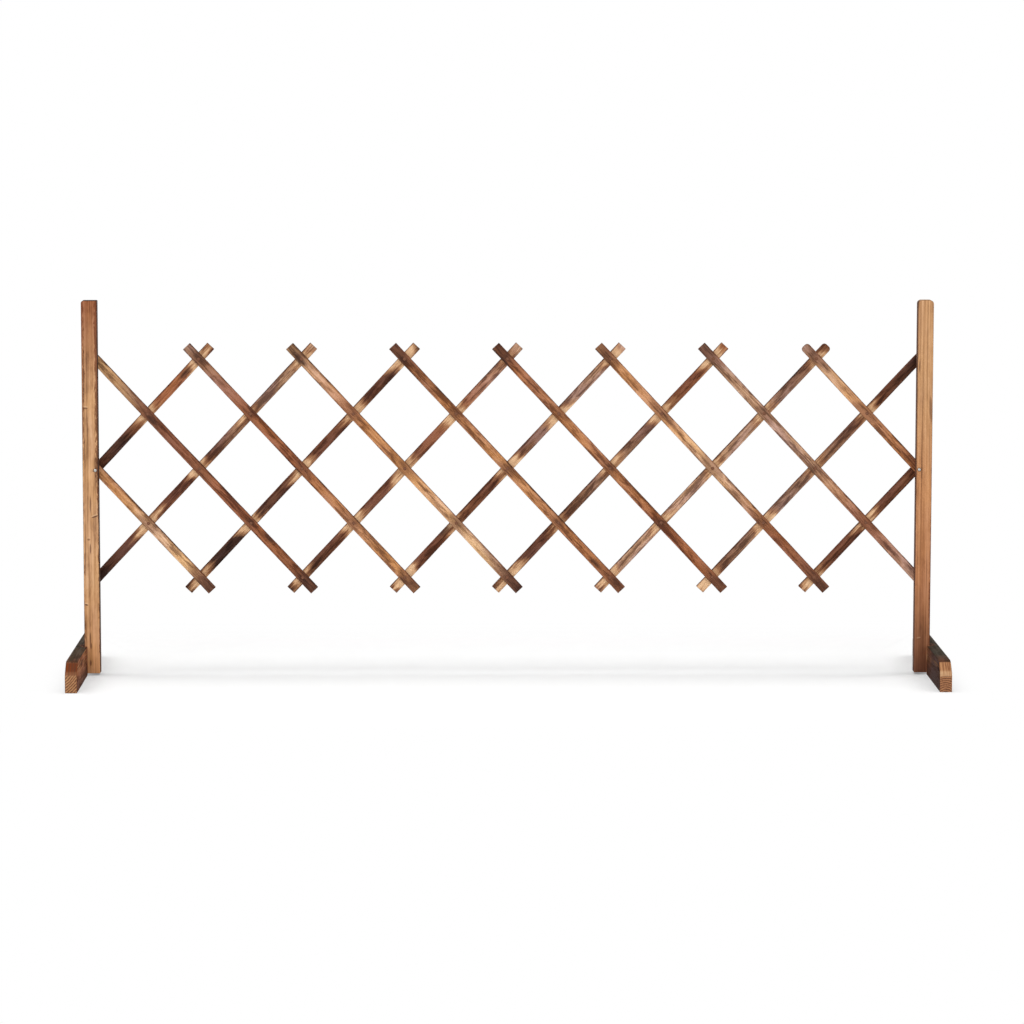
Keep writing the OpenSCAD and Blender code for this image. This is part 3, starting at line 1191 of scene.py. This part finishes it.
class TRELLIS_OT_feet(bpy.types.Operator):
    """Saws the two feet, slopes their ends, houses the posts and countersinks the screw holes."""

    bl_idname = "trellis.feet"
    bl_label = "Add Feet"

    # How far a countersink's cutter stands out of the foot.
    SINK_OVER = 0.2 * MM

    def execute(self, context):
        wood = context.scene.trellis_wood
        front_to_back = Matrix.Rotation(math.pi / 2, 4, "Z")
        for side in SIDES:
            board = Board(side + "_foot", front_to_back)
            foot = board.sawn(wood.foot_section)
            self.slope_ends(foot, board, wood)
            ease_edges(foot, wood.foot_ease, angle=30)
            place(foot, board.matrix)
            self.house_post(foot, side, wood)
            self.countersink(context, foot, side)
            smooth(foot, angle=30)
            board.stained(foot, FOOT_TONES[side], FOOT_CUTS[side].seed)
            hand_over(foot, board.node, foot_wood(side, board))
        return {"FINISHED"}

    def slope_ends(self, foot, board, wood):
        """Cuts a slope at each end of the top, and rounds where it starts and ends."""
        ends = (board.low.x, board.high.x)
        inset = (board.low.x + wood.foot_slope, board.high.x - wood.foot_slope)
        top = board.high.z
        with picked(foot, "EDGE", through_at([(end, top) for end in ends])):
            bpy.ops.mesh.bevel(offset=wood.foot_slope, segments=1, affect="EDGES", clamp_overlap=False)
        turns = [(x, top) for x in inset] + [(end, top - wood.foot_slope) for end in ends]
        with picked(foot, "EDGE", through_at(turns)):
            bpy.ops.mesh.bevel(offset=wood.foot_turn, segments=5, affect="EDGES")

    def house_post(self, foot, side, wood):
        low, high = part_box(side + "_post")
        margin = Vector((0, wood.housing_gap, CUT_OVER))
        below = Vector((0, 0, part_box(side + "_foot")[1].z))
        combine(foot, add_box("housing", low - margin - below, high + margin), "DIFFERENCE")

    def countersink(self, context, foot, side):
        fasteners = context.scene.trellis_fasteners
        gap = context.scene.trellis_wood.hole_gap
        screws = FootScrews(side)
        head = screws.head + gap
        shank = fasteners.screw_shank + gap
        outline = [(head, -self.SINK_OVER), (head, 0), (shank, head - shank), (shank, screws.length)]
        cutter = turned("countersink", outline, fasteners.segments)
        places = pointed(screws.centres, screws.inwards)
        combine(foot, copies_at(cutter, "countersinks", places), "DIFFERENCE")


class TRELLIS_OT_rivets(bpy.types.Operator):
    """Turns the rivets, with a domed head in front and a rolled, hollow end behind."""

    bl_idname = "trellis.rivets"
    bl_label = "Add Rivets"

    # The rolled end: shares of its radius, and heights above where the roll begins.
    ROLL_LENGTH = 1.0 * MM
    ROLL = ((1.0, 0.0), (1.0, 0.35 * MM), (0.9, 0.8 * MM), (0.75, ROLL_LENGTH), (0.55, 0.8 * MM),
            (0.4, 0.2 * MM), (0.35, -1.5 * MM))
    # How far below and beside the crown of a head the lacquer is rubbed through, partly as wear and partly as
    # a painted highlight.
    RUB_AND_HIGHLIGHT_DEPTH = 1.0 * MM
    RUB_AND_HIGHLIGHT_RADIUS = 4.5 * MM

    def execute(self, context):
        fasteners = context.scene.trellis_fasteners
        material = brown_lacquer()
        for number in range(1, LATH_COUNT + 1):
            node = f"front_lath_{number}_rivets"
            low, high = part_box(node)
            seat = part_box(f"front_lath_{number}")[0].y
            pins = LATTICE.rivets(number, FALLS, seat)
            head = high.z - max(pin.z for pin in pins)
            outline = dome(head, seat - low.y, steps=5) + self.shank(fasteners, high.y - seat)
            pattern = turned("rivet", outline, fasteners.segments)
            rivets = copies_at(pattern, "lacquered_" + node, pointed(pins, BACKWARDS))
            self.wear(rivets, pins)
            smooth(rivets, angle=50)
            hand_over(rivets, node, material)
        return {"FINISHED"}

    def shank(self, fasteners, end):
        roll = end - self.ROLL_LENGTH
        rolled = [(share * fasteners.rivet_tail, roll + rise) for share, rise in self.ROLL]
        return [(fasteners.rivet_shank, 0.0), (fasteners.rivet_shank, roll), *rolled]

    def wear(self, rivets, pins):
        """Stores how far each point is rubbed bright, partly as wear and partly as a painted highlight: most
        at the crown of its head.
        """
        x, y, z = points_of(rivets).T
        from_axis = np.min([np.hypot(x - pin.x, z - pin.z) for pin in pins], axis=0)
        crown = np.clip(1 - (y - y.min()) / self.RUB_AND_HIGHLIGHT_DEPTH, 0, 1)
        store(rivets, "wear", "FLOAT", crown * np.clip(1 - from_axis / self.RUB_AND_HIGHLIGHT_RADIUS, 0, 1))


def axis_at(node, y):
    """The point of a bolt's, washer's or nut's axis at the given depth."""
    low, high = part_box(node)
    return Vector(((low.x + high.x) / 2, y, (low.z + high.z) / 2))


# Width of a cross recess at its bottom, as a share of its width at its mouth.
RECESS_TAPER = 0.6


def cut_cross(piece, context, centre, direction, reach):
    """Sinks a cross recess into a head, as seen by a driver pushed along the direction."""
    fasteners = context.scene.trellis_fasteners
    width, depth = fasteners.recess_width, fasteners.recess_depth
    half = Vector((width, width, 0)) / 2
    bit = add_box("recess", -half - Vector((0, 0, CUT_OVER)), half + Vector((0, 0, depth)))
    for side in (Vector((1, 0, 0)), Vector((-1, 0, 0)), Vector((0, 1, 0)), Vector((0, -1, 0))):
        looks = faces_towards(side)
        with picked(bit, "FACE", lambda face: looks(face)
                    and near(face.calc_center_median().cross(side).z, 0)):
            arm = side * (reach - width) / 2
            bpy.ops.mesh.extrude_region_move(TRANSFORM_OT_translate={"value": arm})
    with picked(bit, "FACE", faces_towards(Vector((0, 0, 1)))):
        bpy.ops.transform.resize(value=(RECESS_TAPER, RECESS_TAPER, 1), center_override=(0, 0, depth))
    place(bit, Matrix.Translation(centre) @ turn_to(direction))
    combine(piece, bit, "DIFFERENCE")


class TRELLIS_OT_pivot_bolts(bpy.types.Operator):
    """Turns the two pivot bolts: a round head with a cross recess, a shank and a threaded tip."""

    bl_idname = "trellis.pivot_bolts"
    bl_label = "Add Pivot Bolts"

    def execute(self, context):
        fasteners = context.scene.trellis_fasteners
        for side in SIDES:
            node = side + "_pivot_bolt"
            low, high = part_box(node)
            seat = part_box(side + "_post")[0].y
            thread_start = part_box(side + "_pivot_washer")[0].y - seat
            head = (high.x - low.x) / 2
            outline = dome(head, seat - low.y, steps=6)
            outline += self.shank(fasteners, thread_start, high.y - seat)
            bolt = turned("zinc_" + node, outline, fasteners.segments)
            axis = axis_at(node, seat)
            place(bolt, Matrix.Translation(axis) @ turn_to(BACKWARDS))
            cut_cross(bolt, context, axis_at(node, low.y), BACKWARDS, head)
            self.paint_rim_shade(bolt, axis, head)
            smooth(bolt, angle=35)
            hand_over(bolt, node, zinc_plate())
        return {"FINISHED"}

    def shank(self, fasteners, thread_start, end):
        """Outline of the plain shank and, from the washer on, of the thread as rings."""
        crest, pitch = fasteners.bolt_shank, fasteners.thread_pitch
        root = crest - fasteners.thread_depth
        outline = [(crest, 0.0), (crest, thread_start)]
        height = thread_start
        while height + pitch < end:
            outline += [(root, height + pitch / 2), (crest, height + pitch)]
            height += pitch
        return outline + [(root, end)]

    def paint_rim_shade(self, bolt, axis, head):
        """Stores how much painted shade each point of the head gets: most at its rim."""
        x, y, z = points_of(bolt).T
        store(bolt, "grime", "FLOAT", np.where(y < axis.y, np.hypot(x - axis.x, z - axis.z) / head, 0))


class TRELLIS_OT_pivot_nuts(bpy.types.Operator):
    """Makes the washer and the chamfered hexagon nut on each pivot bolt."""

    bl_idname = "trellis.pivot_nuts"
    bl_label = "Add Washers and Nuts"

    # How much of a washer's thickness is taken off at each rim.
    WASHER_EASE = 0.2

    def execute(self, context):
        fasteners = context.scene.trellis_fasteners
        bore = fasteners.bolt_shank + context.scene.trellis_wood.hole_gap
        for side in SIDES:
            for kind, model in (("pivot_washer", self.washer), ("pivot_nut", self.nut)):
                node = f"{side}_{kind}"
                low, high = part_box(node)
                thick = high.y - low.y
                radius = max(high.x - low.x, high.z - low.z) / 2
                piece = model("zinc_" + node, radius, thick, fasteners.segments)
                place(piece, Matrix.Translation(axis_at(node, low.y)) @ turn_to(BACKWARDS))
                drill(piece, bore, [axis_at(node, low.y - CUT_OVER)], BACKWARDS, thick + 2 * CUT_OVER,
                      fasteners.segments)
                smooth(piece, angle=30)
                hand_over(piece, node, zinc_plate())
        return {"FINISHED"}

    def washer(self, name, radius, thick, segments):
        ease = self.WASHER_EASE * thick
        outline = [(radius - ease, 0), (radius, ease), (radius, thick - ease), (radius - ease, thick)]
        return turned(name, outline, segments)

    def nut(self, name, radius, thick, segments):
        """A hexagonal prism, turned off at its corners on both faces."""
        slant = math.pi / 6
        bpy.ops.object.select_all(action="DESELECT")
        bpy.ops.mesh.primitive_cylinder_add(vertices=6, radius=radius, depth=thick,
                                            location=(0, 0, thick / 2), rotation=(0, 0, slant))
        nut = new_piece(name)
        flats = radius * math.cos(slant)
        rise = (radius - flats) * math.tan(slant)
        outline = [(flats, 0), (radius, rise), (radius, thick - rise), (flats, thick)]
        combine(nut, turned("chamfer", outline, 2 * segments), "INTERSECT")
        return nut


class TRELLIS_OT_foot_screws(bpy.types.Operator):
    """Turns the countersunk screws that hold each foot to its post."""

    bl_idname = "trellis.foot_screws"
    bl_label = "Add Foot Screws"

    # Length of the point and radius of its end, as shares of the shank's radius.
    POINT_LENGTH = 2
    POINT_END = 0.2

    def execute(self, context):
        fasteners = context.scene.trellis_fasteners
        shank = fasteners.screw_shank
        for side in SIDES:
            screws = FootScrews(side)
            head, length = screws.head, screws.length
            point = (shank, length - self.POINT_LENGTH * shank)
            outline = [(head, 0), (shank, head - shank), point, (self.POINT_END * shank, length)]
            pattern = turned("screw", outline, fasteners.segments)
            cut_cross(pattern, context, Vector((0, 0, 0)), (0, 0, 1), head)
            pair = copies_at(pattern, "zinc_" + screws.node, pointed(screws.centres, screws.inwards))
            smooth(pair, angle=35)
            hand_over(pair, screws.node, zinc_plate())
        return {"FINISHED"}


class TRELLIS_OT_stage(bpy.types.Operator):
    """Sets the camera, a pale floor and soft lamps."""

    bl_idname = "trellis.stage"
    bl_label = "Set Stage"

    # The floor is matt round the panel, and turns white between these distances from the middle.
    MATT_ALONG = (0.95, 1.14)
    MATT_ACROSS = (0.3, 0.7)
    WHITE_GLOW = 0.88

    def execute(self, context):
        scene = context.scene
        stage = scene.trellis_stage
        scene.view_settings.view_transform = "Standard"
        self.set_camera(scene, stage)
        self.hang_floor_lamp(scene, stage, self.lay_floor(stage))
        self.light_sky(scene, stage)
        self.hang_lamp(scene, "key_lamp", stage.key_spot, stage.lamp_size, stage.key_power)
        self.hang_lamp(scene, "fill_lamp", stage.fill_spot, stage.lamp_size, stage.fill_power)
        return {"FINISHED"}

    def set_camera(self, scene, stage):
        camera = bpy.data.cameras.new("view_camera")
        camera.lens = stage.lens
        camera.shift_x, camera.shift_y = stage.shift
        holder = bpy.data.objects.new("view_camera", camera)
        scene.collection.objects.link(holder)
        level = math.pi / 2
        aim = Matrix.Rotation(-stage.turn, 4, "Z") @ Matrix.Rotation(level - stage.tilt, 4, "X")
        holder.matrix_world = Matrix.Translation(stage.eye) @ aim
        scene.camera = holder

    def lay_floor(self, stage):
        bpy.ops.object.select_all(action="DESELECT")
        bpy.ops.mesh.primitive_plane_add(size=stage.floor_size, location=(0, 0, 0))
        floor = new_piece("pale_floor")
        finish = Finish(bpy.data.materials.new("pale_floor"))
        x, y, _ = finish.split(finish.add("ShaderNodeTexCoord", output="Object"))
        far = abs(x).rising(*self.MATT_ALONG).math("MAXIMUM", abs(y).rising(*self.MATT_ACROSS))
        shade = (*shaded(stage.floor_tone, stage.floor_share), 1.0)
        matt = finish.add("ShaderNodeBsdfDiffuse", inputs={"Color": shade})
        white = {"Color": (*stage.floor_tone, 1.0), "Strength": white_when_seen(finish, self.WHITE_GLOW)}
        glow = finish.add("ShaderNodeEmission", inputs=white)
        both = finish.add("ShaderNodeMixShader", inputs={0: far, 1: matt, 2: glow})
        finish.add("ShaderNodeOutputMaterial", inputs={"Surface": both})
        floor.data.materials.append(finish.owner)
        return floor

    def light_sky(self, scene, stage):
        scene.world = bpy.data.worlds.new("pale_sky")
        sky = Finish(scene.world)
        white = {"Color": (*stage.floor_tone, 1.0), "Strength": white_when_seen(sky, stage.sky)}
        light = sky.add("ShaderNodeBackground", inputs=white)
        sky.add("ShaderNodeOutputWorld", inputs={"Surface": light})

    def new_lamp(self, scene, name, size, power):
        lamp = bpy.data.lights.new(name, "AREA")
        lamp.size = size
        lamp.energy = power
        holder = bpy.data.objects.new(name, lamp)
        scene.collection.objects.link(holder)
        return holder

    def hang_lamp(self, scene, name, spot, size, power):
        """Hangs a lamp that shines at the middle of the panel."""
        holder = self.new_lamp(scene, name, size, power)
        middle = (CAD_BOX[0] + CAD_BOX[1]) / 2
        turn = (middle - spot).to_track_quat("-Z", "Y")
        holder.matrix_world = Matrix.Translation(spot) @ turn.to_matrix().to_4x4()

    def hang_floor_lamp(self, scene, stage, floor):
        """A long lamp straight over the panel lights the floor alone: the laths throw a soft shadow on it."""
        holder = self.new_lamp(scene, "floor_lamp", stage.floor_lamp_length, stage.floor_power)
        holder.data.shape = "RECTANGLE"
        holder.data.size_y = stage.floor_lamp_width
        holder.location = (0, 0, stage.floor_lamp_height)
        lit = bpy.data.collections.new("lit_by_floor_lamp")
        lit.objects.link(floor)
        holder.light_linking.receiver_collection = lit


def white_when_seen(finish, strength):
    """A strength for light, which is one where the camera sees it, also by way of metal or glass."""
    rays = finish.add("ShaderNodeLightPath").socket.node.outputs
    camera, glossy, transmitted = (Value(finish, rays[f"Is {kind} Ray"])
                                   for kind in ("Camera", "Glossy", "Transmission"))
    return strength + (camera + glossy + transmitted).clamped() * (1.0 - strength)


class TRELLIS_PT_sidebar(bpy.types.Panel):
    """Lists the trellis's pieces and their settings."""

    bl_idname = "TRELLIS_PT_sidebar"
    bl_label = "Trellis"
    bl_space_type = "VIEW_3D"
    bl_region_type = "UI"
    bl_category = "Trellis"

    def draw(self, context):
        for operator in OPERATORS:
            self.layout.operator(operator.bl_idname)
        for name, group in SETTINGS.items():
            box = self.layout.box()
            box.label(text=group.__doc__)
            for key in group.__annotations__:
                box.prop(getattr(context.scene, name), key)


SETTINGS = {
    "trellis_tones": TrellisTones,
    "trellis_wood": TrellisWood,
    "trellis_fasteners": TrellisFasteners,
    "trellis_stage": TrellisStage,
}
OPERATORS = (
    TRELLIS_OT_stage,
    TRELLIS_OT_laths,
    TRELLIS_OT_posts,
    TRELLIS_OT_feet,
    TRELLIS_OT_rivets,
    TRELLIS_OT_pivot_bolts,
    TRELLIS_OT_pivot_nuts,
    TRELLIS_OT_foot_screws,
)
CLASSES = (*SETTINGS.values(), *OPERATORS, TRELLIS_PT_sidebar)


def register():
    for cls in CLASSES:
        bpy.utils.register_class(cls)
    for name, group in SETTINGS.items():
        setattr(bpy.types.Scene, name, PointerProperty(type=group))


def unregister():
    for name in SETTINGS:
        delattr(bpy.types.Scene, name)
    for cls in reversed(CLASSES):
        bpy.utils.unregister_class(cls)


def main():
    register()
    for operator in OPERATORS:
        group, name = operator.bl_idname.split(".")
        getattr(getattr(bpy.ops, group), name)()


if __name__ == "__main__":
    main()
